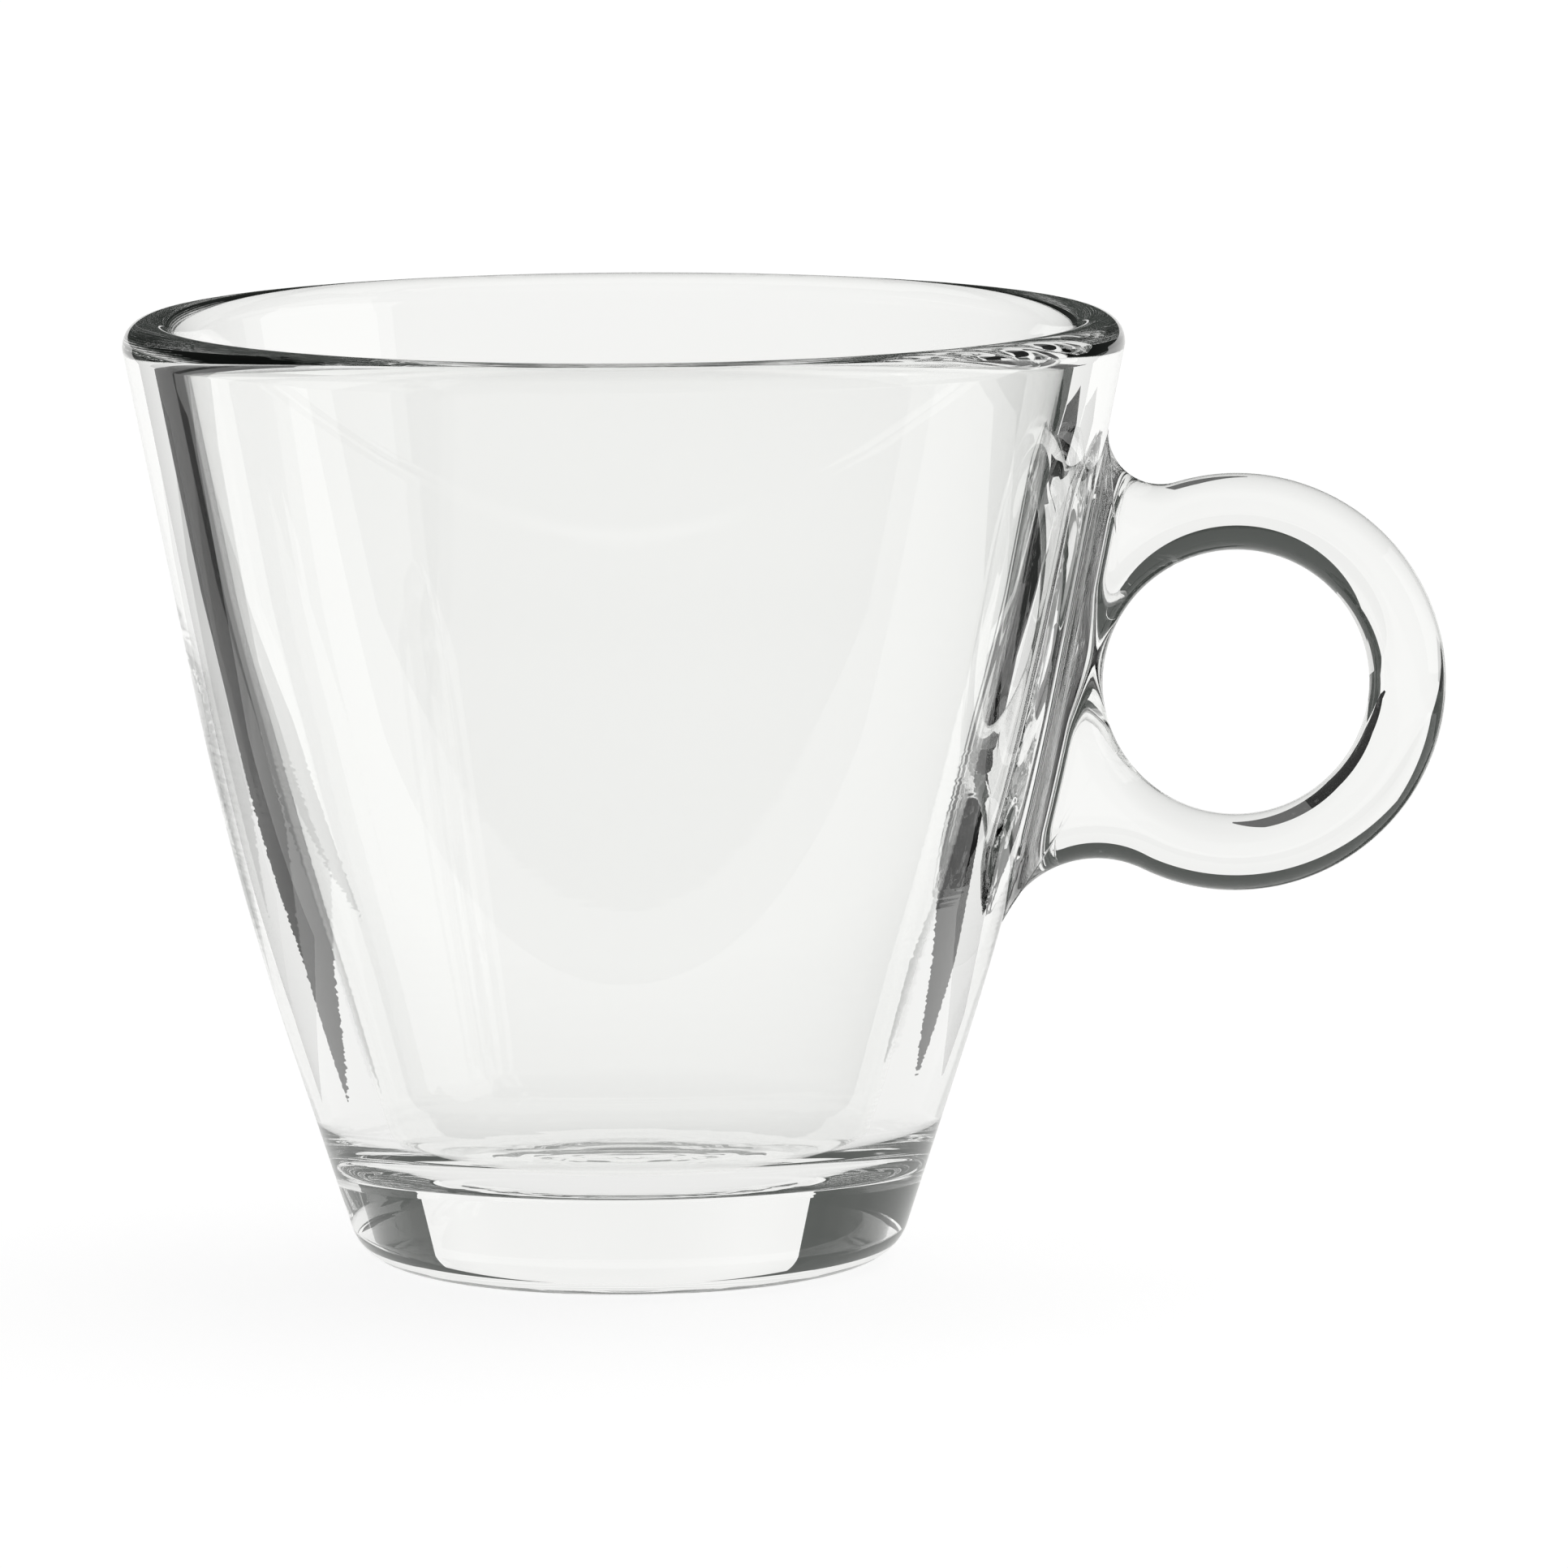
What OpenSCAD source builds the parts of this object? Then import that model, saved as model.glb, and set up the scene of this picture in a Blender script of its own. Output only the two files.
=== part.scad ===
// Cortado glass: a conical clear-glass bowl with a thick base and a one-finger ring handle.
// Sizes are in millimetres. Z is up, the origin is on the bowl's axis on the table, the ring is towards +X.

/* [Bowl] */
// Outside diameter at the rim
rim_d = 78; // [70:0.5:90]
// Height from the table to the top of the rim
height = 74; // [68:0.5:84]
// Thickness of the glass in the upper wall
wall_t = 4.3; // [3.6:0.1:5]
// Radius of the rounded outer edge of the rim
lip_outer_r = 2; // [1.2:0.1:2.6]
// Slope of the upper wall from upright, in degrees
upper_draft = 11.2; // [9:0.1:13]
// Slope of the lower wall from upright, in degrees
lower_draft = 18; // [16:0.1:21]
// Height at which the two slopes would cross
knee_z = 30.3; // [26:0.1:34]
// Slope of the cavity's lower wall from upright, in degrees
inner_draft = 18; // [14:0.1:19]
// Height at which the cavity's two slopes would cross
inner_knee_z = 40; // [36:0.5:44]
// Radius that blends two slopes, outside and inside
knee_r = 250; // [120:5:300]

/* [Base] */
// Thickness of the solid base
base_t = 8.3; // [5:0.1:11]
// Radius of the outer corner at the foot
foot_r = 4; // [2:0.1:6]
// Radius of the inner corner round the floor
floor_r = 6; // [3:0.1:8]
// Diameter of the shallow hollow under the base
punt_d = 22; // [12:0.5:28]
// Depth of the hollow under the base
punt_h = 0.8; // [0.3:0.1:2]

/* [Ring handle] */
// Diameter of the finger hole
hole_d = 20.8; // [18:0.1:24]
// Diameter of the ring's glass rod
rod_d = 6; // [5:0.1:8]
// Height of the ring's centre above the table
ring_z = 45.1; // [42:0.1:48]
// Glass left between the bowl's wall and the finger hole
hole_gap = 3.5; // [2:0.1:5]
// Radius of the hollow curve from the ring up to the wall
top_fillet_r = 4.1; // [2.5:0.1:6]
// Radius of the hollow curve from the ring down to the wall
bottom_fillet_r = 8; // [5:0.1:10]
// Radius of the flare at the front and back of the root
side_fillet_r = 2.5; // [1:0.1:3.5]
// Gap left at the fused seam between the ring's root and the wall
seam_gap = 0.02; // [0.02:0.01:0.1]

/* [Hidden] */

// Facets round a full turn
$fn = 96;
// Step along the free ring in degrees, points round a loop, and points on each face of the root
ring_step = 6;
rod_points = 24;
face_points = 9;
// Loops over the root and over each fillet, and halvings used to find where a fillet touches the wall
root_steps = 28;
fillet_steps = 10;
halvings = 34;
// Directions from the ring's centre between which the cuts of the root start at the finger hole
root_from = 150;
root_to = 203;
// Height of the blunt edge in which each fillet ends on the wall
tip_gap = 0.25;
// Least half thickness inside an edge, which keeps the front and back of a thin edge apart
edge_min = 0.04;

// The bowl's outer profile: radius and height of its corners, with outward normals and upward directions
rim_r = rim_d / 2;
upper_out = [cos(upper_draft), -sin(upper_draft)];
upper_up = [sin(upper_draft), cos(upper_draft)];
lower_out = [cos(lower_draft), -sin(lower_draft)];
lower_up = [sin(lower_draft), cos(lower_draft)];
lip_c = [rim_r - lip_outer_r, height - lip_outer_r];
lip_edge = lip_c + lip_outer_r * upper_out;
knee = lip_edge - upper_up * (lip_edge.y - knee_z) / upper_up.y;
knee_run = knee_r * tan((lower_draft - upper_draft) / 2);
knee_top = knee + knee_run * upper_up;
knee_bottom = knee - knee_run * lower_up;
knee_c = knee_top - knee_r * upper_out;
foot_edge = knee - lower_up * knee.y / lower_up.y;
foot_c = [foot_edge.x - foot_r * (1 - sin(lower_draft)) / cos(lower_draft), foot_r];
foot_edge_up = foot_c + foot_r * lower_out;

// The cavity's profile, one wall inside the outer one above its knee; the rim's two edges meet at its crest
lip_inner_r = (wall_t - lip_outer_r * (1 + sin(upper_draft))) / (1 - sin(upper_draft));
lip_inner_c = [lip_c.x, height - lip_inner_r];
lip_inner_edge = lip_inner_c - lip_inner_r * upper_out;
inner_out = [cos(inner_draft), -sin(inner_draft)];
inner_up = [sin(inner_draft), cos(inner_draft)];
inner_knee = lip_inner_edge - upper_up * (lip_inner_edge.y - inner_knee_z) / upper_up.y;
inner_knee_run = knee_r * tan((inner_draft - upper_draft) / 2);
inner_knee_top = inner_knee + inner_knee_run * upper_up;
inner_knee_bottom = inner_knee - inner_knee_run * inner_up;
inner_knee_c = inner_knee_top - knee_r * upper_out;
floor_c_z = base_t + floor_r;
floor_c = [
  inner_knee.x - (floor_r + (inner_knee.y - floor_c_z) * sin(inner_draft)) / cos(inner_draft),
  floor_c_z
];
floor_edge = floor_c + floor_r * inner_out;
punt_r = (punt_d * punt_d / 4 + punt_h * punt_h) / (2 * punt_h);
above_rim = 1;

// The ring: radii, and its centre in the plane of the handle
rod_r = rod_d / 2;
hole_r = hole_d / 2;
ring_outer_r = hole_r + rod_d;
ring_c = [wall_x(ring_z) + hole_gap + hole_r, ring_z];

// Signed distance from a point of the profile plane to the bowl's outer wall, positive outside
function wall_gap(p) =
  (p - knee_top) * upper_up > 0 ? (p - knee_top) * upper_out :
  (p - knee_bottom) * lower_up < 0 ? (p - knee_bottom) * lower_out :
  norm(p - knee_c) - knee_r;

// Outer radius of the wall at a height
function wall_x(z) =
  z > knee_top.y ? knee_top.x + (z - knee_top.y) * tan(upper_draft) :
  z < knee_bottom.y ? knee_bottom.x + (z - knee_bottom.y) * tan(lower_draft) :
  knee_c.x + sqrt(knee_r * knee_r - pow(z - knee_c.y, 2));

function polar(c, r, a) = c + r * [cos(a), sin(a)];

// A fillet that touches both the ring and the wall: the direction of its centre from the ring's centre
function fillet_miss(a, r) = wall_gap(polar(ring_c, ring_outer_r + r, a)) - r;
function fillet_turn(r, free, buried, n = halvings) =
  n == 0 ? (free + buried) / 2 :
  fillet_miss((free + buried) / 2, r) > 0 ?
    fillet_turn(r, (free + buried) / 2, buried, n - 1) :
    fillet_turn(r, free, (free + buried) / 2, n - 1);
top_turn = fillet_turn(top_fillet_r, 60, 170);
bottom_turn = fillet_turn(bottom_fillet_r, 300, 190);
top_c = polar(ring_c, ring_outer_r + top_fillet_r, top_turn);
bottom_c = polar(ring_c, ring_outer_r + bottom_fillet_r, bottom_turn);

// Where a fillet runs out on the wall: the directions of its two ends from its own centre
function wall_out(p) =
  (p - knee_top) * upper_up > 0 ? upper_out :
  (p - knee_bottom) * lower_up < 0 ? lower_out :
  (p - knee_c) / norm(p - knee_c);
function turn_of(v) = let (a = atan2(v.y, v.x)) a < 0 ? a + 360 : a;
function tip_turn(r) = acos(1 - tip_gap / r);
top_ends = [top_turn + 180, turn_of(-wall_out(top_c)) + tip_turn(top_fillet_r)];
bottom_ends = [turn_of(-wall_out(bottom_c)) - tip_turn(bottom_fillet_r), bottom_turn - 180];
top_tip = polar(top_c, top_fillet_r, top_ends[1]);
bottom_tip = polar(bottom_c, bottom_fillet_r, bottom_ends[0]);

// Depth of a point of the handle's plane inside its outline, up to the rod's radius
function ring_depth(p) = min(rod_r, ring_outer_r - norm(p - ring_c), norm(p - ring_c) - hole_r);
function root_depth(p) = min(
  rod_r, norm(p - ring_c) - hole_r, norm(p - top_c) - top_fillet_r, norm(p - bottom_c) - bottom_fillet_r
);

// Half the glass's thickness there: a round edge, flared where it nears the wall
function round_edge(depth) = sqrt(max(0, rod_r * rod_r - pow(rod_r - max(0, depth), 2)));
function flare(gap) =
  let (rise = side_fillet_r - min(side_fillet_r, max(0, gap)))
  side_fillet_r - sqrt(side_fillet_r * side_fillet_r - rise * rise);
function half_width(p, on_ring) =
  on_ring ? round_edge(ring_depth(p)) : round_edge(root_depth(p)) * (1 + flare(wall_gap(p)) / rod_r);

// The point of the seam on the wall at a height, at a distance y from the handle's plane
function seam_point(z, y) = [sqrt(pow(wall_x(z) + seam_gap, 2) - y * y), z];

// One closed loop of points round the glass, on a cut from the finger hole's edge to the outline's outer edge
function place(p, y) = [p.x, y, p.y];
function ease(t) = (1 - cos(180 * t)) / 2;
function free_loop(inner, outer, on_ring) = [
  for (k = [0:rod_points - 1])
    let (
      j = min(k, rod_points - k),
      p = inner + (outer - inner) * ease(2 * j / rod_points),
      y = j == 0 || 2 * j == rod_points ? 0 : max(edge_min, half_width(p, on_ring))
    ) place(p, k <= rod_points / 2 ? y : -y)
];
function root_loop(inner, z) =
  let (
    seam_y = max(edge_min, half_width([wall_x(z), z], false)),
    corner = seam_point(z, seam_y)
  ) [
    for (k = [0:rod_points - 1])
      let (
        j = min(k, rod_points - k),
        on_face = j < face_points,
        face_p = inner + (corner - inner) * ease(j / face_points),
        y = j == 0 ? 0 :
          on_face ? max(edge_min, half_width(face_p, false)) :
          seam_y * (rod_points / 2 - j) / (rod_points / 2 - face_points)
      ) place(on_face ? face_p : seam_point(z, y), k <= rod_points / 2 ? y : -y)
  ];

// The loops: round the free ring, over the top fillet, down the root on the wall, and over the bottom fillet
function spread(from, to, n, first = 0.5) = [for (i = [0:n - 1]) from + (to - from) * (i + first) / n];
free_count = ceil((top_turn - bottom_turn + 360) / ring_step);
free_turns = spread(bottom_turn - 360, top_turn, free_count);
function fillet_loops(turns, c, r, ends, first) =
  let (
    inner_turns = spread(turns[0], turns[1], fillet_steps, first),
    outer_turns = spread(ends[0], ends[1], fillet_steps, first)
  ) [
    for (i = [0:fillet_steps - 1])
      free_loop(polar(ring_c, hole_r, inner_turns[i]), polar(c, r, outer_turns[i]), false)
  ];
root_turns = spread(root_from, root_to, root_steps);
root_heights = spread(top_tip.y, bottom_tip.y, root_steps);
ring_loops = [
  for (a = free_turns) free_loop(polar(ring_c, hole_r, a), polar(ring_c, ring_outer_r, a), true),
  each fillet_loops([top_turn, root_from], top_c, top_fillet_r, top_ends, 1),
  for (i = [0:root_steps - 1]) root_loop(polar(ring_c, hole_r, root_turns[i]), root_heights[i]),
  each fillet_loops([root_to, bottom_turn], bottom_c, bottom_fillet_r, bottom_ends, 0)
];

// A closed skin over loops of equal length, where the last loop joins the first
module closed_skin(loops) {
  n = len(loops);
  m = len(loops[0]);
  polyhedron(
    points = [for (loop = loops, p = loop) p],
    faces = [
      for (i = [0:n - 1], k = [0:m - 1])
        let (
          a = i * m + k,
          b = i * m + (k + 1) % m,
          c = (i + 1) % n * m + (k + 1) % m,
          d = (i + 1) % n * m + k
        ) each [[a, b, c], [a, c, d]]
    ]
  );
}

// A convex round between two straight sides that would cross at a corner
module round_corner(c, r, from, corner, to) {
  intersection() {
    translate(c) circle(r);
    polygon([from, corner, to]);
  }
}

module outer_profile() {
  polygon([
    [0, 0], [foot_c.x, 0], foot_c, foot_edge_up, knee_bottom, knee_top,
    lip_edge, lip_c, [lip_c.x, height], [0, height]
  ]);
  translate(foot_c) circle(foot_r);
  round_corner(knee_c, knee_r, knee_bottom, knee, knee_top);
  translate(lip_c) circle(lip_outer_r);
}

module cavity_profile() {
  difference() {
    polygon([
      [0, base_t], [floor_c.x, base_t], floor_c, floor_edge, inner_knee_bottom, inner_knee_top,
      lip_inner_edge, lip_inner_c, [lip_c.x, height + above_rim], [0, height + above_rim]
    ]);
    translate(lip_inner_c) circle(lip_inner_r);
  }
  translate(floor_c) circle(floor_r);
  round_corner(inner_knee_c, knee_r, inner_knee_bottom, inner_knee, inner_knee_top);
}

module bowl() {
  color("gainsboro", 0.4)
    rotate_extrude()
      difference() {
        outer_profile();
        cavity_profile();
        translate([0, punt_h - punt_r]) circle(punt_r);
      }
}

module ring_handle() {
  color("gainsboro", 0.4)
    closed_skin(ring_loops);
}

bowl();
ring_handle();
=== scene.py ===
"""Looks of a small cortado glass: a bowl and a ring handle of clear pressed glass, in a white studio."""

import math

import bpy
import numpy as np
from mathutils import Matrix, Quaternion, Vector
from mathutils.geometry import delaunay_2d_cdt


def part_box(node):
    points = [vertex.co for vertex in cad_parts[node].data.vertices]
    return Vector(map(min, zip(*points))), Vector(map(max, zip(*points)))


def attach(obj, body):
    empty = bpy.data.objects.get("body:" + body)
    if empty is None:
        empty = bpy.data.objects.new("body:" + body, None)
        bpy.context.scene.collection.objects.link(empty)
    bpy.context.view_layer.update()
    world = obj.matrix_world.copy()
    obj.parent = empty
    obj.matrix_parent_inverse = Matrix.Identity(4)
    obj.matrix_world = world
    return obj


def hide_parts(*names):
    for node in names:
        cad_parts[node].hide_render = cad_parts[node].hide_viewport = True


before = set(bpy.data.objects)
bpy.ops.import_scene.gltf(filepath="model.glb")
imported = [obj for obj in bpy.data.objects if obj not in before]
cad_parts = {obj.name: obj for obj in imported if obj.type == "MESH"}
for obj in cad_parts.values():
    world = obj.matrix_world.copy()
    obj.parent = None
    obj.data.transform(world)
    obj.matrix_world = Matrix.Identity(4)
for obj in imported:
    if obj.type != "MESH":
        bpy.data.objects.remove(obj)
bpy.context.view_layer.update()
scene = bpy.context.scene
MM = 0.001

# Bowl, in millimetres and degrees from upright
bowl_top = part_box("bowl")[1]
RIM_R = bowl_top.y / MM
HEIGHT = bowl_top.z / MM
WALL_T = 4.3
LIP_OUTER_R = 2.0
UPPER_DRAFT = 11.2
LOWER_DRAFT = 18.0
KNEE_Z = 30.3
KNEE_R = 250.0
INNER_KNEE_Z = 40.0
INNER_LOWER_DRAFT = 18.0
BASE_T = 8.3
FOOT_R = 4.0
FLOOR_R = 6.0
PUNT_D = 22.0
PUNT_H = 0.8
FLOOR_RIPPLE = 0.06
FLOOR_RIPPLE_STEP = 3.4
PUNT_RIPPLE = 0.03
PUNT_RIPPLE_STEP = 2.2
MARKS_TOP = 42.0

# Ring handle, in millimetres
HOLE_R = 10.4
ROD_R = 3.0
RING_Z = 45.1
HOLE_GAP = 3.5
TOP_FILLET_R = 4.1
BOTTOM_FILLET_R = 8.0
SIDE_FILLET_R = 2.5
TIP_GAP = 0.04
EDGE_MIN = 0.01

# Directions in degrees between which each fillet's centre is sought: one clear of the wall, one too close
TOP_SEARCH = (60, 170)
BOTTOM_SEARCH = (300, 190)
HALVINGS = 40

# Steps along the bowl's profile, in order, and round the bowl
FLOOR_STEPS = 120
FLOOR_ARC_STEPS = 26
INNER_LOWER_STEPS = 24
INNER_KNEE_STEPS = 24
INNER_UPPER_STEPS = 32
LIP_INNER_STEPS = 20
LIP_OUTER_STEPS = 28
WALL_STEPS = 96
FOOT_STEPS = 28
STAND_STEPS = 12
PUNT_STEPS = 90
BOWL_STEPS = 320

# Points round the handle's rod, loops along the handle, and the degrees between which loops end on the wall
ROD_POINTS = 64
FACE_POINTS = 26
RING_LOOPS = 150
FILLET_LOOPS = 36
ROOT_LOOPS = 90
ROOT_FROM = 150.0
ROOT_TO = 203.0

# Window in the bowl's mesh round the handle's seam: room beside it, above and below it, and next to its line
WINDOW_COLUMNS = 4
WINDOW_MARGIN = 2.0
SEAM_CLEAR = 0.45
SEAM_TOLERANCE = 1e-6
MESH_TOLERANCE = 1e-9

# Material slots of a piece of glass
OUTER, SEAM, INNER = range(3)


def turn(degrees):
    """Unit vectors of a plane at angles from its first axis."""
    a = np.radians(degrees)
    return np.stack([np.cos(a), np.sin(a)], axis=-1)


def angle(v):
    return math.degrees(math.atan2(v[1], v[0])) % 360


# Corners and centres of the bowl's profile, as radius and height
upper_out, upper_up = turn(-UPPER_DRAFT), turn(90 - UPPER_DRAFT)
lower_out, lower_up = turn(-LOWER_DRAFT), turn(90 - LOWER_DRAFT)
lip_c = np.array([RIM_R - LIP_OUTER_R, HEIGHT - LIP_OUTER_R])
lip_edge = lip_c + LIP_OUTER_R * upper_out
knee = lip_edge - upper_up * (lip_edge[1] - KNEE_Z) / upper_up[1]
knee_run = KNEE_R * math.tan(math.radians(LOWER_DRAFT - UPPER_DRAFT) / 2)
knee_top = knee + knee_run * upper_up
knee_bottom = knee - knee_run * lower_up
knee_c = knee_top - KNEE_R * upper_out
foot_edge = knee - lower_up * knee[1] / lower_up[1]
foot_c = np.array([foot_edge[0] - FOOT_R * (1 - lower_up[0]) / lower_up[1], FOOT_R])
foot_edge_up = foot_c + FOOT_R * lower_out
lip_inner_r = (WALL_T - LIP_OUTER_R * (1 + upper_up[0])) / (1 - upper_up[0])
lip_inner_c = np.array([lip_c[0], HEIGHT - lip_inner_r])
inner_out, inner_up = turn(-INNER_LOWER_DRAFT), turn(90 - INNER_LOWER_DRAFT)
inner_top = knee - WALL_T * upper_out
inner_knee = inner_top + upper_up * (INNER_KNEE_Z - inner_top[1]) / upper_up[1]
inner_run = KNEE_R * math.tan(math.radians(INNER_LOWER_DRAFT - UPPER_DRAFT) / 2)
inner_knee_c = inner_knee + inner_run * upper_up - KNEE_R * upper_out
floor_c_z = BASE_T + FLOOR_R
floor_c_run = FLOOR_R + (floor_c_z - inner_knee[1]) * inner_out[1]
floor_c = np.array([inner_knee[0] - floor_c_run / inner_out[0], floor_c_z])
punt_r = (PUNT_D**2 / 4 + PUNT_H**2) / (2 * PUNT_H)
punt_c = np.array([0, PUNT_H - punt_r])


# The bowl's outer wall, which carries the handle
def wall_normal(p):
    """Outward normals of the outer wall next to points of the profile plane."""
    from_knee = p - knee_c
    out = from_knee / np.linalg.norm(from_knee, axis=-1, keepdims=True)
    out = np.where(((p - knee_top) @ upper_up > 0)[..., None], upper_out, out)
    return np.where(((p - knee_bottom) @ lower_up < 0)[..., None], lower_out, out)


def wall_gap(p):
    """Distances from points of the profile plane to the outer wall."""
    gap = np.linalg.norm(p - knee_c, axis=-1) - KNEE_R
    gap = np.where((p - knee_top) @ upper_up > 0, (p - knee_top) @ upper_out, gap)
    return np.where((p - knee_bottom) @ lower_up < 0, (p - knee_bottom) @ lower_out, gap)


def wall_radius(z):
    """Outer radii of the wall at heights."""
    z = np.asarray(z, float)
    r = knee_c[0] + np.sqrt(np.maximum(0, KNEE_R**2 - (z - knee_c[1]) ** 2))
    r = np.where(z > knee_top[1], knee_top[0] + (z - knee_top[1]) * upper_up[0] / upper_up[1], r)
    return np.where(z < knee_bottom[1], knee_bottom[0] + (z - knee_bottom[1]) * lower_up[0] / lower_up[1], r)


# The bowl's whole profile, from the middle of the floor over the rim to the middle of the base
def line(start, end, normal, steps):
    t = np.arange(steps)[:, None] / steps
    points = np.asarray(start) + t * (np.asarray(end) - np.asarray(start))
    return np.hstack([points, np.tile(normal, (steps, 1))])


def arc(centre, radius, start, end, steps, facing):
    out = turn(start + (end - start) * np.arange(steps) / steps)
    return np.hstack([centre + radius * out, facing * out])


def ripple(profile, height, step):
    """The profile with rings pressed into it, which fade out at its ends."""
    r = profile[:, 0]
    fade = np.sin(np.pi * r / r.max())
    wave = height * fade * np.sin(2 * np.pi * r / step)
    slope = np.gradient(wave, r)
    facing = np.sign(profile[:, 3])
    profile = profile.copy()
    profile[:, 1] += wave
    profile[:, 2] -= facing * slope
    profile[:, 2:] /= np.linalg.norm(profile[:, 2:], axis=1, keepdims=True)
    return profile


def outer_wall(steps):
    z = lip_edge[1] + (foot_edge_up[1] - lip_edge[1]) * np.arange(steps) / steps
    points = np.stack([wall_radius(z), z], axis=-1)
    return np.hstack([points, wall_normal(points)])


floor_line = line([0, BASE_T], [floor_c[0], BASE_T], [0, 1], FLOOR_STEPS)
lower_start, lower_end = floor_c + FLOOR_R * inner_out, inner_knee - inner_run * inner_up
upper_start, upper_end = inner_knee + inner_run * upper_up, lip_inner_c - lip_inner_r * upper_out
punt_arc = arc(punt_c, punt_r, angle([PUNT_D / 2, -punt_c[1]]), 90, PUNT_STEPS, -1)
inner_rows = np.vstack([
    ripple(floor_line, FLOOR_RIPPLE, FLOOR_RIPPLE_STEP),
    arc(floor_c, FLOOR_R, -90, -INNER_LOWER_DRAFT, FLOOR_ARC_STEPS, -1),
    line(lower_start, lower_end, -inner_out, INNER_LOWER_STEPS),
    arc(inner_knee_c, KNEE_R, -INNER_LOWER_DRAFT, -UPPER_DRAFT, INNER_KNEE_STEPS, -1),
    line(upper_start, upper_end, -upper_out, INNER_UPPER_STEPS),
    arc(lip_inner_c, lip_inner_r, 180 - UPPER_DRAFT, 90, LIP_INNER_STEPS, 1),
    arc(lip_c, LIP_OUTER_R, 90, -UPPER_DRAFT, LIP_OUTER_STEPS, 1),
])
base_rows = np.vstack([
    arc(foot_c, FOOT_R, -LOWER_DRAFT, -90, FOOT_STEPS, 1),
    line([foot_c[0], 0], [PUNT_D / 2, 0], [0, -1], STAND_STEPS),
    ripple(punt_arc, PUNT_RIPPLE, PUNT_RIPPLE_STEP),
])
# The first row is left out, because it lies on the axis
rows = np.vstack([inner_rows, outer_wall(WALL_STEPS), base_rows])[1:]
first_wall_row = len(inner_rows) - 1
first_lip_row = first_wall_row - LIP_OUTER_STEPS - LIP_INNER_STEPS

# The ring: its centre, and the fillets that touch both the ring and the wall
RING_OUTER_R = HOLE_R + 2 * ROD_R
ring_c = np.array([wall_radius(RING_Z) + HOLE_GAP + HOLE_R, RING_Z])


def fillet_turn(radius, free, buried):
    """Direction of a fillet's centre from the ring's centre, between a free and a buried one."""
    for _ in range(HALVINGS):
        middle = (free + buried) / 2
        clear = wall_gap(ring_c + (RING_OUTER_R + radius) * turn(middle)) > radius
        free, buried = (middle, buried) if clear else (free, middle)
    return free


def tip_turn(radius):
    return math.degrees(math.acos(1 - TIP_GAP / radius))


top_turn = fillet_turn(TOP_FILLET_R, *TOP_SEARCH)
bottom_turn = fillet_turn(BOTTOM_FILLET_R, *BOTTOM_SEARCH)
top_c = ring_c + (RING_OUTER_R + TOP_FILLET_R) * turn(top_turn)
bottom_c = ring_c + (RING_OUTER_R + BOTTOM_FILLET_R) * turn(bottom_turn)
top_ends = top_turn + 180, angle(-wall_normal(top_c)) + tip_turn(TOP_FILLET_R)
bottom_ends = angle(-wall_normal(bottom_c)) - tip_turn(BOTTOM_FILLET_R), bottom_turn - 180


def half_width(p, on_ring):
    """Half the handle's thickness at points of its plane: a round edge, flared next to the wall."""
    from_ring = np.linalg.norm(p - ring_c, axis=-1)
    depth = np.minimum(ROD_R, from_ring - HOLE_R)
    if on_ring:
        depth = np.minimum(depth, RING_OUTER_R - from_ring)
    else:
        depth = np.minimum(depth, np.linalg.norm(p - top_c, axis=-1) - TOP_FILLET_R)
        depth = np.minimum(depth, np.linalg.norm(p - bottom_c, axis=-1) - BOTTOM_FILLET_R)
    edge = np.sqrt(np.maximum(0, ROD_R**2 - (ROD_R - np.maximum(0, depth)) ** 2))
    if on_ring:
        return edge
    rise = SIDE_FILLET_R - np.clip(wall_gap(p), 0, SIDE_FILLET_R)
    flare = SIDE_FILLET_R - np.sqrt(SIDE_FILLET_R**2 - rise**2)
    return edge * (1 + flare / ROD_R)


# Loops round the handle's glass, each on a cut from the finger hole's edge to the outer edge or the wall
half = ROD_POINTS // 2
loop_place = np.minimum(np.arange(ROD_POINTS), ROD_POINTS - np.arange(ROD_POINTS))
loop_side = np.where(np.arange(ROD_POINTS) <= half, 1, -1)


def ease(t):
    return (1 - np.cos(np.pi * t)) / 2


def free_loop(inner, outer, on_ring):
    """A loop from the finger hole's edge to the handle's outer edge."""
    p = inner + (outer - inner) * ease(loop_place / half)[:, None]
    y = np.maximum(EDGE_MIN, half_width(p, on_ring))
    y[(loop_place == 0) | (loop_place == half)] = 0
    return np.stack([p[:, 0], y * loop_side, p[:, 1]], axis=-1)


def root_loop(inner, z):
    """A loop from the finger hole's edge to the wall at a height, with its last points across the seam."""
    seam_y = max(EDGE_MIN, float(half_width(np.array([wall_radius(z), z]), False)))
    corner = np.array([math.sqrt(wall_radius(z) ** 2 - seam_y**2), z])
    p = inner + (corner - inner) * ease(np.minimum(1, loop_place / FACE_POINTS))[:, None]
    y = np.maximum(EDGE_MIN, half_width(p, False))
    y[loop_place == 0] = 0
    on_seam = loop_place >= FACE_POINTS
    y = np.where(on_seam, seam_y * (half - loop_place) / (half - FACE_POINTS), y)
    x = np.where(on_seam, np.sqrt(wall_radius(z) ** 2 - y**2), p[:, 0])
    return np.stack([x, y * loop_side, np.where(on_seam, z, p[:, 1])], axis=-1)


def spread(start, end, count, first=0.5):
    return start + (end - start) * (np.arange(count) + first) / count


def fillet_loops(turns, centre, radius, ends, first):
    inner = ring_c + HOLE_R * turn(spread(*turns, FILLET_LOOPS, first))
    outer = centre + radius * turn(spread(*ends, FILLET_LOOPS, first))
    return [free_loop(a, b, False) for a, b in zip(inner, outer)]


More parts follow.
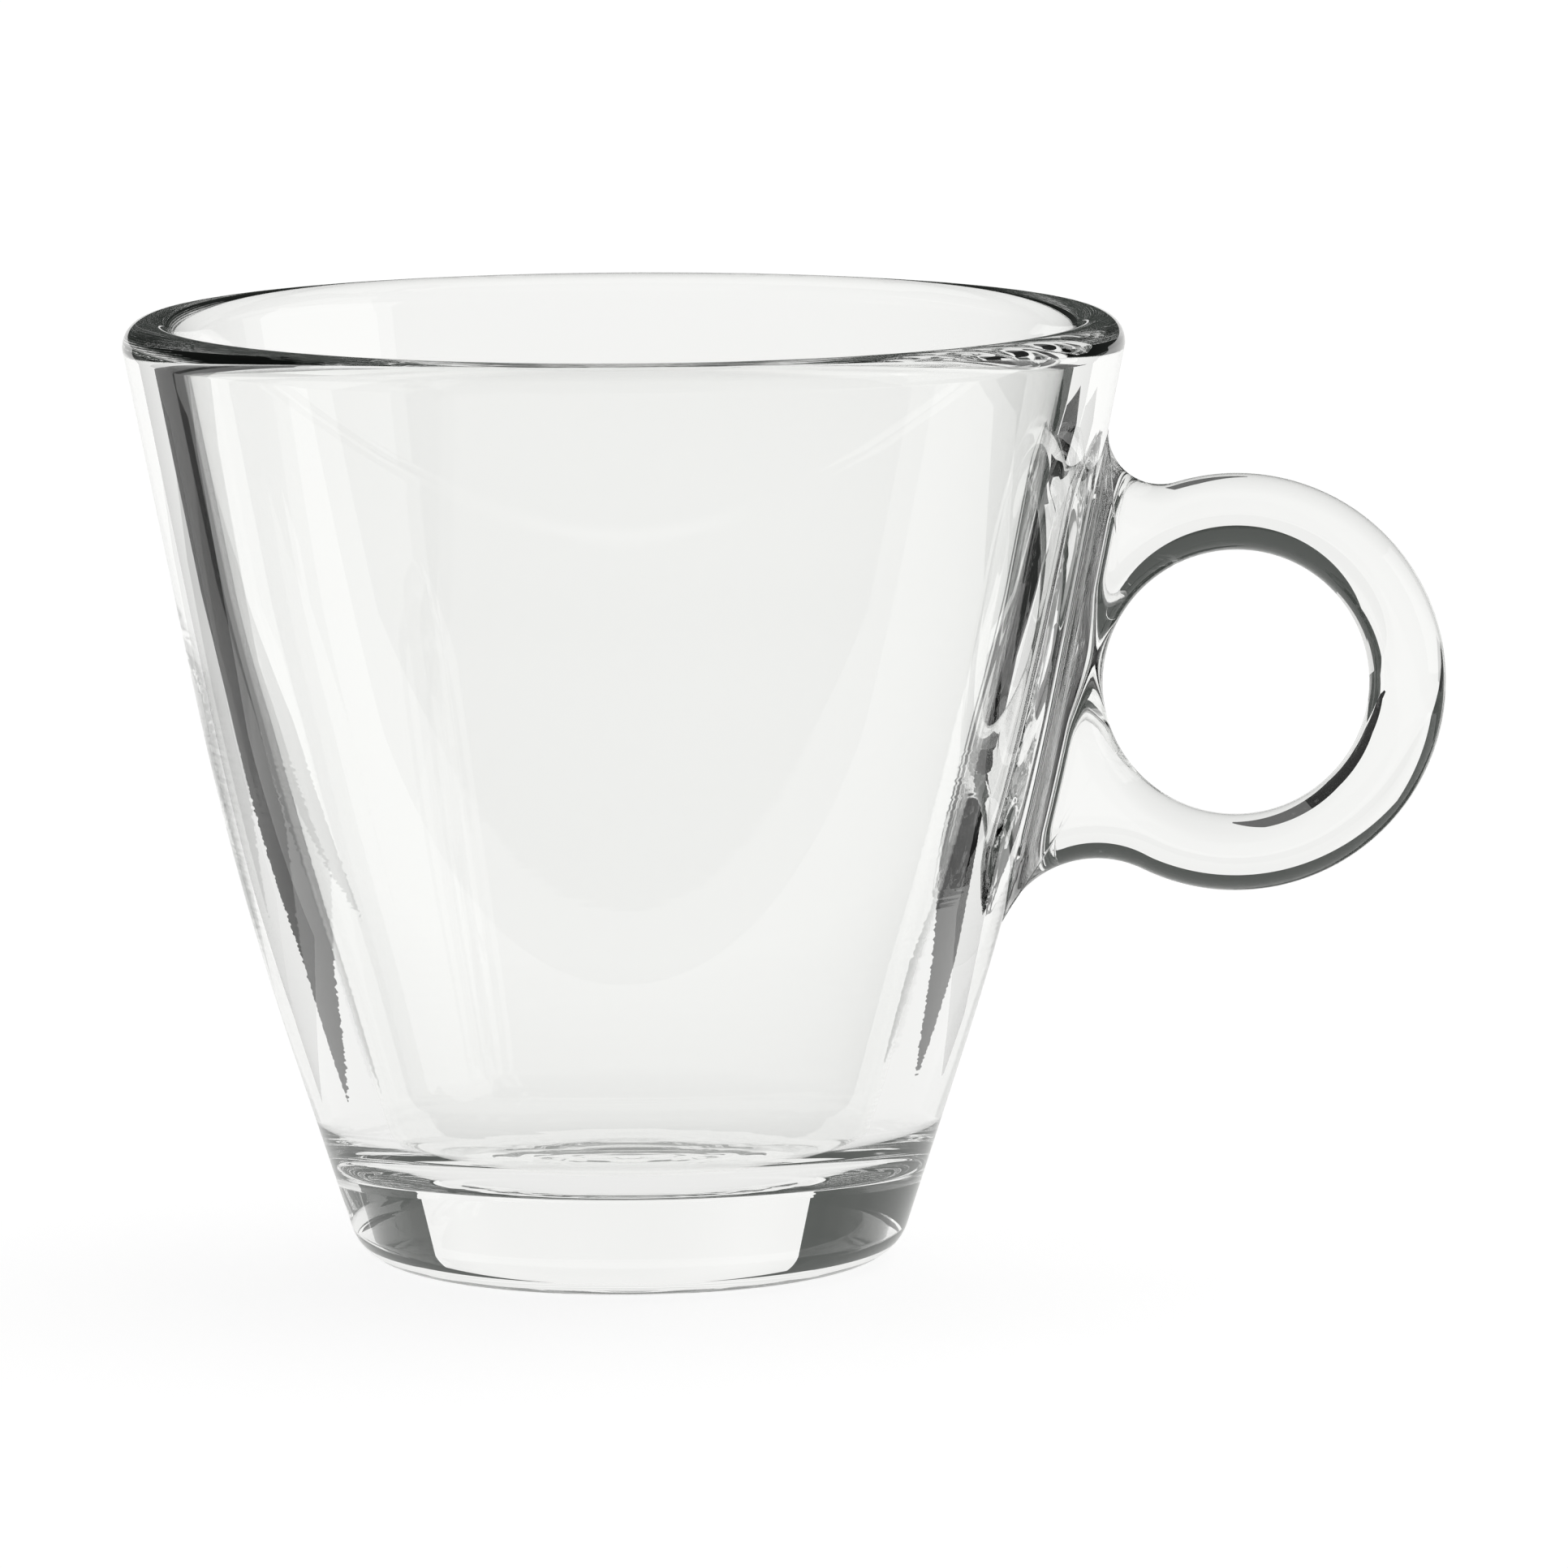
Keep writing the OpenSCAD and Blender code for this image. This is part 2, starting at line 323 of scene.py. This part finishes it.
def handle_loops():
    """All loops, and the number of the first one that ends on the wall."""
    loops = [
        free_loop(ring_c + HOLE_R * turn(a), ring_c + RING_OUTER_R * turn(a), True)
        for a in spread(bottom_turn - 360, top_turn, RING_LOOPS)
    ]
    loops += fillet_loops((top_turn, ROOT_FROM), top_c, TOP_FILLET_R, top_ends, 1)
    first_root = len(loops)
    top_z = (top_c + TOP_FILLET_R * turn(top_ends[1]))[1]
    bottom_z = (bottom_c + BOTTOM_FILLET_R * turn(bottom_ends[0]))[1]
    inner = ring_c + HOLE_R * turn(spread(ROOT_FROM, ROOT_TO, ROOT_LOOPS))
    loops += [root_loop(a, z) for a, z in zip(inner, spread(top_z, bottom_z, ROOT_LOOPS))]
    loops += fillet_loops((ROOT_TO, bottom_turn), bottom_c, BOTTOM_FILLET_R, bottom_ends, 0)
    return np.array(loops), first_root


handle_points, first_root = handle_loops()


# Mesh of the handle
def handle_mesh():
    count = len(handle_points)
    index = np.arange(count * ROD_POINTS).reshape(count, ROD_POINTS)
    a, b = index, np.roll(index, -1, axis=1)
    d, c = np.roll(a, -1, axis=0), np.roll(b, -1, axis=0)
    quads = np.stack([a, d, c, b], axis=-1).reshape(-1, 4)
    place = np.minimum(np.arange(ROD_POINTS) + 0.5, ROD_POINTS - np.arange(ROD_POINTS) - 0.5)
    on_root = np.zeros(count, dtype=bool)
    on_root[first_root:first_root + ROOT_LOOPS - 1] = True
    on_seam = on_root[:, None] & (place > FACE_POINTS)[None, :]
    return handle_points.reshape(-1, 3), quads, np.where(on_seam, SEAM, OUTER).ravel()


def seam_loop():
    """The closed line in which the handle's root meets the wall, as angles round the bowl and heights."""
    root = handle_points[first_root:first_root + ROOT_LOOPS]
    near, far = FACE_POINTS, ROD_POINTS - FACE_POINTS
    points = np.vstack([root[0, near:far], root[:, far], root[-1, near + 1:far][::-1], root[1:, near][::-1]])
    return np.stack([np.arctan2(points[:, 1], points[:, 0]), points[:, 2]], axis=-1)


def wall_normals(radius, out, z):
    """Normals of the outer wall in space, at radii, directions round the bowl and heights."""
    flat = wall_normal(np.stack([radius, z], axis=-1))
    return np.hstack([out * flat[:, :1], flat[:, 1:]])


def handle_normals(points, mesh):
    """The mesh's smooth normals, with the wall's own ones where the root meets it."""
    smooth = np.array([v.normal for v in mesh.vertices])
    radius = np.linalg.norm(points[:, :2], axis=1)
    on_wall = radius - wall_radius(points[:, 2]) < SEAM_TOLERANCE
    out = points[:, :2] / radius[:, None]
    return np.where(on_wall[:, None], wall_normals(radius, out, points[:, 2]), smooth)


# Mesh of the bowl, turned round its axis, with a window in the outer wall that is meshed to the handle's seam
theta = np.arange(BOWL_STEPS) * 2 * np.pi / BOWL_STEPS
step_angle = theta[1]
spin = np.stack([np.cos(theta), np.sin(theta)], axis=-1)


def spun(values):
    """Pairs of a radius and a height, turned round the axis."""
    flat = values[:, None, :1] * spin[None]
    up = np.broadcast_to(values[:, None, 1:], flat.shape[:2] + (1,))
    return np.concatenate([flat, up], axis=-1).reshape(-1, 3)


def inside(points, loop):
    """Which points of a plane lie inside a closed loop."""
    x, y = points[:, :1], points[:, 1:]
    ax, ay = loop[:, 0], loop[:, 1]
    bx, by = np.roll(ax, -1), np.roll(ay, -1)
    crosses = (ay > y) != (by > y)
    rise = np.where(by == ay, 1, by - ay)
    return (crosses & (x < ax + (y - ay) * (bx - ax) / rise)).sum(axis=1) % 2 == 1


def seam_window(seam):
    """Rows of the profile and columns round the bowl that the window takes up."""
    side = int(np.ceil(np.abs(seam[:, 0]).max() / step_angle)) + WINDOW_COLUMNS
    wall_z = rows[first_wall_row:first_wall_row + WALL_STEPS, 1]
    high = first_wall_row + int(np.argmax(wall_z < seam[:, 1].max() + WINDOW_MARGIN)) - 1
    low = first_wall_row + int(np.argmax(wall_z < seam[:, 1].min() - WINDOW_MARGIN))
    return np.arange(high, low + 1), np.arange(-side, side + 1)


def grid_border(height, width):
    """Row and column numbers round the border of a grid, in order."""
    down, across = np.arange(height - 1), np.arange(width - 1)
    sides = [(0 * across, across), (down, 0 * down + width - 1),
             (0 * across + height - 1, across[::-1] + 1), (down[::-1] + 1, 0 * down)]
    return tuple(np.concatenate(numbers) for numbers in zip(*sides))


def closed_line(first, count):
    """Edges of a closed line whose points are numbered in order."""
    return [(first + i, first + (i + 1) % count) for i in range(count)]


def window_triangles(seam, index, window_rows, columns, first_seam_point):
    """Triangles of the window, as numbers of points, and which of them lie inside the seam."""
    flat_scale = wall_radius(RING_Z)
    grid = index[window_rows][:, columns % BOWL_STEPS]
    across, up = columns[None, :] * step_angle * flat_scale, rows[window_rows, 1][:, None]
    grid_flat = np.stack(np.broadcast_arrays(across, up), axis=-1)
    border = grid_border(*grid.shape)
    seam_flat = seam * [flat_scale, 1]
    inner_ids = grid[1:-1, 1:-1].ravel()
    inner_flat = grid_flat[1:-1, 1:-1].reshape(-1, 2)
    gap = np.linalg.norm(inner_flat[:, None] - seam_flat[None], axis=-1).min(axis=1)
    clear = gap > SEAM_CLEAR
    ids = np.concatenate([grid[border], first_seam_point + np.arange(len(seam)), inner_ids[clear]])
    flat = np.vstack([grid_flat[border], seam_flat, inner_flat[clear]])
    border_count = len(border[0])
    edges = closed_line(0, border_count) + closed_line(border_count, len(seam))
    made = delaunay_2d_cdt([Vector(p) for p in flat], edges, [], 0, MESH_TOLERANCE, True)
    origin = [made[3][i][0] for i in range(len(made[0]))]
    triangles = np.array([[origin[i] for i in face] for face in made[2]])
    return ids[triangles], inside(flat[triangles].mean(axis=1), seam_flat)


def bowl_mesh():
    points = np.vstack([spun(rows[:, :2]), [[0, 0, BASE_T], [0, 0, PUNT_H]]])
    normals = np.vstack([spun(rows[:, 2:]), [[0, 0, 1], [0, 0, -1]]])
    index = np.arange(len(rows) * BOWL_STEPS).reshape(len(rows), BOWL_STEPS)
    floor_middle, base_middle = index.size, index.size + 1
    top, bottom = index[:-1], index[1:]
    quads = np.stack([top, bottom, np.roll(bottom, -1, 1), np.roll(top, -1, 1)], axis=-1)

    seam = seam_loop()
    window_rows, columns = seam_window(seam)
    kept = np.ones(quads.shape[:2], dtype=bool)
    kept[window_rows[0]:window_rows[-1], columns[:-1] % BOWL_STEPS] = False
    triangles, on_seam = window_triangles(seam, index, window_rows, columns, len(points))
    seam_r = wall_radius(seam[:, 1])
    seam_out = np.stack([np.cos(seam[:, 0]), np.sin(seam[:, 0])], axis=-1)
    points = np.vstack([points, np.hstack([seam_r[:, None] * seam_out, seam[:, 1:]])])
    normals = np.vstack([normals, wall_normals(seam_r, seam_out, seam[:, 1])])

    floor_fan = [(floor_middle, *edge) for edge in zip(index[0], np.roll(index[0], -1))]
    base_fan = [(base_middle, *edge) for edge in zip(np.roll(index[-1], -1), index[-1])]
    faces = [tuple(q) for q in quads[kept]] + floor_fan + base_fan + [tuple(t) for t in triangles]
    marked = (np.arange(len(quads)) < first_lip_row) & (rows[:-1, 1] < MARKS_TOP)
    row_slots = np.where(marked, INNER, OUTER)
    quad_slots = np.broadcast_to(row_slots[:, None], kept.shape)[kept]
    fan_slots = np.repeat([INNER, OUTER], BOWL_STEPS)
    return points, faces, np.concatenate([quad_slots, fan_slots, np.where(on_seam, SEAM, OUTER)]), normals


# Glass
GLASS_TINT = (0.997, 1, 0.995, 1)
GLASS_IOR = 1.52


def new_material(name):
    material = bpy.data.materials.new(name)
    material.use_nodes = True
    nodes = material.node_tree.nodes
    nodes.clear()
    return material, nodes, material.node_tree.links


def make_glass(name, mark_depth, mark_size, mark_stretch):
    """Clear glass with marks left by pressing: their depth in metres, noise scale and squeeze in height."""
    material, nodes, links = new_material(name)
    output = nodes.new("ShaderNodeOutputMaterial")
    shader = nodes.new("ShaderNodeBsdfPrincipled")
    shader.inputs["Base Color"].default_value = GLASS_TINT
    shader.inputs["Roughness"].default_value = 0.0
    shader.inputs["IOR"].default_value = GLASS_IOR
    shader.inputs["Transmission Weight"].default_value = 1.0
    place = nodes.new("ShaderNodeTexCoord")
    stretch = nodes.new("ShaderNodeMapping")
    stretch.inputs["Scale"].default_value = (1, 1, mark_stretch)
    marks = nodes.new("ShaderNodeTexNoise")
    marks.inputs["Scale"].default_value = mark_size
    marks.inputs["Detail"].default_value = 1.0
    bump = nodes.new("ShaderNodeBump")
    bump.inputs["Strength"].default_value = 1.0
    bump.inputs["Distance"].default_value = mark_depth
    links.new(place.outputs["Object"], stretch.inputs["Vector"])
    links.new(stretch.outputs["Vector"], marks.inputs["Vector"])
    links.new(marks.outputs["Fac"], bump.inputs["Height"])
    links.new(bump.outputs["Normal"], shader.inputs["Normal"])
    links.new(shader.outputs["BSDF"], output.inputs["Surface"])
    return material


def make_fused_seam():
    """Nothing to see: the bowl's and the handle's glass are one where they meet."""
    material, nodes, links = new_material("fused_seam")
    output = nodes.new("ShaderNodeOutputMaterial")
    shader = nodes.new("ShaderNodeBsdfTransparent")
    links.new(shader.outputs["BSDF"], output.inputs["Surface"])
    return material


glass = make_glass("clear_glass", mark_depth=3e-5, mark_size=50.0, mark_stretch=0.4)
inner_glass = make_glass("clear_glass_inside", mark_depth=5e-6, mark_size=60.0, mark_stretch=30.0)
fused_seam = make_fused_seam()


def glass_piece(name, points, faces, slots, normals=None):
    """A closed piece of glass with exact normals, or the handle's own ones where none are given."""
    mesh = bpy.data.meshes.new(name)
    mesh.from_pydata([tuple(p) for p in points * MM], [], faces)
    for material in (glass, fused_seam, inner_glass):
        mesh.materials.append(material)
    mesh.polygons.foreach_set("material_index", np.asarray(slots, dtype=np.int32))
    mesh.polygons.foreach_set("use_smooth", np.ones(len(faces), dtype=bool))
    mesh.update()
    if normals is None:
        normals = handle_normals(points, mesh)
    mesh.normals_split_custom_set_from_vertices([tuple(n) for n in normals])
    piece = bpy.data.objects.new(name, mesh)
    scene.collection.objects.link(piece)
    return piece


bowl = glass_piece("bowl_glass", *bowl_mesh())
ring_handle = glass_piece("ring_handle_glass", *handle_mesh())
for piece, node in ((bowl, "bowl"), (ring_handle, "ring_handle")):
    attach(piece, "root")
    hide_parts(node)

# Camera at the photograph's viewing angle: places in millimetres, roll in radians, focal length in pixels
CAMERA_PLACE = (12.28, -1000, 169.87)
CAMERA_AIM = (12.28, 0, 37.25)
CAMERA_ROLL = -0.0053
FOCAL_PIXELS = 15905
PHOTO_PIXELS = 1932
SENSOR = 36
camera = bpy.data.objects.new("camera", bpy.data.cameras.new("camera"))
scene.collection.objects.link(camera)
scene.camera = camera
camera.location = Vector(CAMERA_PLACE) * MM
look = Vector(CAMERA_AIM) * MM - camera.location
camera.rotation_mode = "QUATERNION"
camera.rotation_quaternion = look.to_track_quat("-Z", "Y") @ Quaternion((0, 0, 1), CAMERA_ROLL)
camera.data.sensor_width = SENSOR
camera.data.lens = FOCAL_PIXELS * SENSOR / PHOTO_PIXELS
camera.data.clip_start = 0.05
camera.data.clip_end = 50

# Studio: it turns with the camera, as if the glass stood on a turntable in front of both
BOUNCES = 32
scene.view_settings.view_transform = "Standard"
scene.cycles.max_bounces = BOUNCES
scene.cycles.glossy_bounces = BOUNCES
scene.cycles.transmission_bounces = BOUNCES
studio = bpy.data.objects.new("studio", None)
scene.collection.objects.link(studio)
follow = studio.constraints.new("COPY_ROTATION")
follow.target = camera
follow.use_x = False
follow.use_y = False


def card(name, corners, material):
    """A flat sheet of the studio that only the glass sees, with its corners in millimetres."""
    mesh = bpy.data.meshes.new(name)
    mesh.from_pydata([tuple(Vector(c) * MM) for c in corners], [], [tuple(range(len(corners)))])
    mesh.materials.append(material)
    sheet = bpy.data.objects.new(name, mesh)
    scene.collection.objects.link(sheet)
    sheet.parent = studio
    sheet.visible_camera = False
    sheet.visible_diffuse = False
    sheet.visible_shadow = False


def on_table(outline, z):
    return [(x, y, z) for x, y in outline]


def upright(start, end, bottom, top):
    return [(*start, bottom), (*end, bottom), (*end, top), (*start, top)]


# Papers: their light varies between two strengths, by the noise's usual range, and dims close to the glass as
# a painted soft shadow of the glass
PAPER_TINT = (1.0, 1.0, 0.99, 1)
TENT_TINT = (0.9, 1.0, 0.92, 1)
NOISE_LOW = 0.3
NOISE_HIGH = 0.7
CLOSE_TO_GLASS = 30.0
CLEAR_OF_GLASS = 130.0


def make_paper(name, dim, bright, noise_scale, close=1.0, tint=PAPER_TINT):
    """Lit paper: its least and greatest strength, and the share of it that is left close to the glass, where
    it paints the glass's soft shadow.
    """
    material, nodes, links = new_material(name)
    output = nodes.new("ShaderNodeOutputMaterial")
    shader = nodes.new("ShaderNodeEmission")
    place = nodes.new("ShaderNodeTexCoord")
    noise = nodes.new("ShaderNodeTexNoise")
    noise.inputs["Scale"].default_value = noise_scale
    noise.inputs["Detail"].default_value = 1.0
    shader.inputs["Color"].default_value = tint
    shade = nodes.new("ShaderNodeMapRange")
    shade.inputs["From Min"].default_value = NOISE_LOW
    shade.inputs["From Max"].default_value = NOISE_HIGH
    shade.inputs["To Min"].default_value = dim
    shade.inputs["To Max"].default_value = bright
    # Strength falls towards the glass: a painted soft shadow of the glass
    far = nodes.new("ShaderNodeVectorMath")
    far.operation = "LENGTH"
    shadow_fall = nodes.new("ShaderNodeMapRange")
    shadow_fall.inputs["From Min"].default_value = CLOSE_TO_GLASS * MM
    shadow_fall.inputs["From Max"].default_value = CLEAR_OF_GLASS * MM
    shadow_fall.inputs["To Min"].default_value = close
    level = nodes.new("ShaderNodeMath")
    level.operation = "MULTIPLY"
    links.new(place.outputs["Object"], noise.inputs["Vector"])
    links.new(place.outputs["Object"], far.inputs[0])
    links.new(far.outputs["Value"], shadow_fall.inputs["Value"])
    links.new(noise.outputs["Fac"], shade.inputs["Value"])
    links.new(shade.outputs["Result"], level.inputs[0])
    links.new(shadow_fall.outputs["Result"], level.inputs[1])
    links.new(level.outputs["Value"], shader.inputs["Strength"])
    links.new(shader.outputs["Emission"], output.inputs["Surface"])
    return material


# The table keeps 0.88 of its light next to the glass: a painted soft shadow of the glass
white_paper = make_paper("white_paper", 0.97, 1.0, 3.0, close=0.88)
sheet_paper = make_paper("sheet_paper", 0.91, 0.96, 2.0)
soft_paper = make_paper("soft_paper", 0.75, 0.85, 2.0)
front_paper = make_paper("front_paper", 0.32, 0.4, 2.0)
# Painted soft penumbra along the edge of the glass's shadow on the table
painted_penumbra = make_paper("painted_penumbra", 0.66, 0.74, 6.0)
tent_cloth = make_paper("tent_cloth", 0.055, 0.075, 2.0, tint=TENT_TINT)
# Painted shadows of the glass on the table: black cores and grey half shadows
painted_shadow_core = make_paper("painted_shadow_core", 0.01, 0.02, 6.0)
painted_half_shadow = make_paper("painted_half_shadow", 0.12, 0.17, 6.0)

# White table in front of a lit sheet, with painted shadows of the glass on it as black and grey papers, as
# outlines seen from above
SHEET_LEFT = -640.0
SHEET_RIGHT = 790.0
BACK = 1200.0
BACK_TOP = 900.0
CLOTH_Z = -0.04
TABLE_Z = -0.03
SHADE_Z = -0.02
# Outlines of the painted shadows that the glass casts back left and back right: black cores, grey half
# shadows and a soft penumbra, cut out of the white table
LEFT_EDGE = [(-60, 48), (-85, 97), (-130, 165), (-225, 330)]
LEFT_NEAR = [(-80, 11), (-140, 66), (-220, 110)]
LEFT_FAR = [(-225, 185), (-230, 215), (-300, 255)]
TABLE = [(-80, -60), LEFT_NEAR[0], (-45, 27), *LEFT_EDGE, (SHEET_LEFT, BACK), (SHEET_RIGHT, BACK), (370, 410),
         (220, 215), (200, 155), (150, 60), (220, 40), (220, -60)]
FRONT_TABLE = [(-300, -600), (-80, -60), (220, -60), (300, -600)]
LEFT_TABLE = [(-80, -60), *LEFT_NEAR, (-300, 110), (-300, -60)]
LEFT_HALF_SHADOW = [(-45, 27), *LEFT_EDGE[:2], *LEFT_FAR, (-400, 260), (-400, 150), *LEFT_NEAR[::-1]]
LEFT_SHADE = [*LEFT_EDGE, (-330, 350), *LEFT_FAR[::-1], (-90, 47)]
LEFT_PENUMBRA = [*LEFT_EDGE[1:3], (-189, 268), (-155, 268), (-85, 165), (-52, 97)]
RIGHT_HALF_SHADOW = [(48, 34), (57, 53), (72, 60), (72, 27), (48, 31)]
RIGHT_SHADE = [(72, 60), (85, 66), (130, 112), (190, 215), (200, 268), (214, 268), (218, 215), (200, 155),
               (140, 60), (112, 38), (85, 25), (72, 27)]
card("table_top", on_table(TABLE, TABLE_Z), white_paper)
card("front_table", on_table(FRONT_TABLE, TABLE_Z), front_paper)
# Cards that paint the glass's shadows on the table
card("left_penumbra", on_table(LEFT_PENUMBRA, SHADE_Z), painted_penumbra)
card("left_table", on_table(LEFT_TABLE, TABLE_Z), white_paper)
card("left_half_shadow", on_table(LEFT_HALF_SHADOW, TABLE_Z), painted_half_shadow)
card("left_shade", on_table(LEFT_SHADE, SHADE_Z), painted_shadow_core)
card("right_half_shadow", on_table(RIGHT_HALF_SHADOW, SHADE_Z), painted_half_shadow)
card("right_shade", on_table(RIGHT_SHADE, SHADE_Z), painted_shadow_core)
card("back_sheet", upright((SHEET_LEFT, BACK), (SHEET_RIGHT, BACK), 0, BACK_TOP), sheet_paper)

# Dark tent round the table, a dark flag above it behind the glass, and a softbox at the right
TENT = 2500.0
FLAG_Y = 135.0
FLAG_HALF = 260.0
FLAG_BOTTOM = 78.0
FLAG_TOP = 700.0
SOFTBOX_X = 700.0
SOFTBOX_BACK = 500.0
SOFTBOX_FRONT = -300.0
SOFTBOX_TOP = 500.0
tent = [(-TENT, -TENT), (TENT, -TENT), (TENT, TENT), (-TENT, TENT)]
card("tent_floor", on_table(tent, CLOTH_Z), tent_cloth)
card("tent_roof", on_table(tent, TENT), tent_cloth)
for side in range(4):
    card(f"tent_side_{side + 1}", upright(tent[side - 1], tent[side], CLOTH_Z, TENT), tent_cloth)
card("top_flag", upright((-FLAG_HALF, FLAG_Y), (FLAG_HALF, FLAG_Y), FLAG_BOTTOM, FLAG_TOP), tent_cloth)
softbox = upright((SOFTBOX_X, SOFTBOX_BACK), (SOFTBOX_X, SOFTBOX_FRONT), 0, SOFTBOX_TOP)
card("right_softbox", softbox, soft_paper)

# White floor and world that the camera sees, with the glass's soft shadow
FLOOR_GLOW = 0.88
FLOOR_GREY = (0.5, 0.5, 0.5, 1)
FLOOR_UNSEEN = 0.06
FLOOR_NOISE_SCALE = 40.0
FLOOR_TONE_LOW = 0.995
FLOOR_HALF = 6000.0
FLOOR_Z = -0.05
SUN_STRENGTH = 0.88
SUN_ANGLE = 70
SUN_TILT = (-14, 12)
WORLD_UNSEEN = 0.04
WORLD_SEEN = 1.0


def background_rays(nodes, links):
    """1 for rays that show the background: from the camera, or reflected or let through by the glass."""
    path = nodes.new("ShaderNodeLightPath")
    mirrored = nodes.new("ShaderNodeMath")
    mirrored.operation = "MAXIMUM"
    through = nodes.new("ShaderNodeMath")
    through.operation = "MAXIMUM"
    links.new(path.outputs["Is Camera Ray"], mirrored.inputs[0])
    links.new(path.outputs["Is Glossy Ray"], mirrored.inputs[1])
    links.new(mirrored.outputs["Value"], through.inputs[0])
    links.new(path.outputs["Is Transmission Ray"], through.inputs[1])
    return through.outputs["Value"]


def make_floor_material():
    material, nodes, links = new_material("pale_floor")
    output = nodes.new("ShaderNodeOutputMaterial")
    glow = nodes.new("ShaderNodeEmission")
    matt = nodes.new("ShaderNodeBsdfDiffuse")
    seen = nodes.new("ShaderNodeAddShader")
    unseen = nodes.new("ShaderNodeEmission")
    choose = nodes.new("ShaderNodeMixShader")
    glow.inputs["Strength"].default_value = FLOOR_GLOW
    matt.inputs["Color"].default_value = FLOOR_GREY
    unseen.inputs["Strength"].default_value = FLOOR_UNSEEN
    place = nodes.new("ShaderNodeTexCoord")
    noise = nodes.new("ShaderNodeTexNoise")
    noise.inputs["Scale"].default_value = FLOOR_NOISE_SCALE
    tone = nodes.new("ShaderNodeMapRange")
    tone.inputs["To Min"].default_value = FLOOR_TONE_LOW
    links.new(place.outputs["Object"], noise.inputs["Vector"])
    links.new(noise.outputs["Fac"], tone.inputs["Value"])
    links.new(tone.outputs["Result"], glow.inputs["Color"])
    links.new(glow.outputs["Emission"], seen.inputs[0])
    links.new(matt.outputs["BSDF"], seen.inputs[1])
    links.new(background_rays(nodes, links), choose.inputs["Fac"])
    links.new(unseen.outputs["Emission"], choose.inputs[1])
    links.new(seen.outputs["Shader"], choose.inputs[2])
    links.new(choose.outputs["Shader"], output.inputs["Surface"])
    return material


def make_floor():
    mesh = bpy.data.meshes.new("floor")
    square = [(-FLOOR_HALF, -FLOOR_HALF), (FLOOR_HALF, -FLOOR_HALF), (FLOOR_HALF, FLOOR_HALF),
              (-FLOOR_HALF, FLOOR_HALF)]
    mesh.from_pydata([tuple(Vector(corner) * MM) for corner in on_table(square, 0)], [], [(0, 1, 2, 3)])
    mesh.materials.append(make_floor_material())
    floor = bpy.data.objects.new("floor", mesh)
    scene.collection.objects.link(floor)
    floor.location.z = FLOOR_Z * MM


def make_overhead():
    sun = bpy.data.lights.new("overhead", "SUN")
    sun.angle = math.radians(SUN_ANGLE)
    sun.energy = SUN_STRENGTH
    overhead = bpy.data.objects.new("overhead", sun)
    scene.collection.objects.link(overhead)
    overhead.rotation_euler = (math.radians(SUN_TILT[0]), math.radians(SUN_TILT[1]), 0)
    overhead.visible_transmission = False
    overhead.visible_glossy = False


def make_world():
    world = bpy.data.worlds.new("studio")
    scene.world = world
    world.use_nodes = True
    nodes = world.node_tree.nodes
    links = world.node_tree.links
    background = nodes["Background"]
    background.inputs["Color"].default_value = (1, 1, 1, 1)
    level = nodes.new("ShaderNodeMapRange")
    level.inputs["To Min"].default_value = WORLD_UNSEEN
    level.inputs["To Max"].default_value = WORLD_SEEN
    links.new(background_rays(nodes, links), level.inputs["Value"])
    links.new(level.outputs["Result"], background.inputs["Strength"])


make_floor()
make_overhead()
make_world()
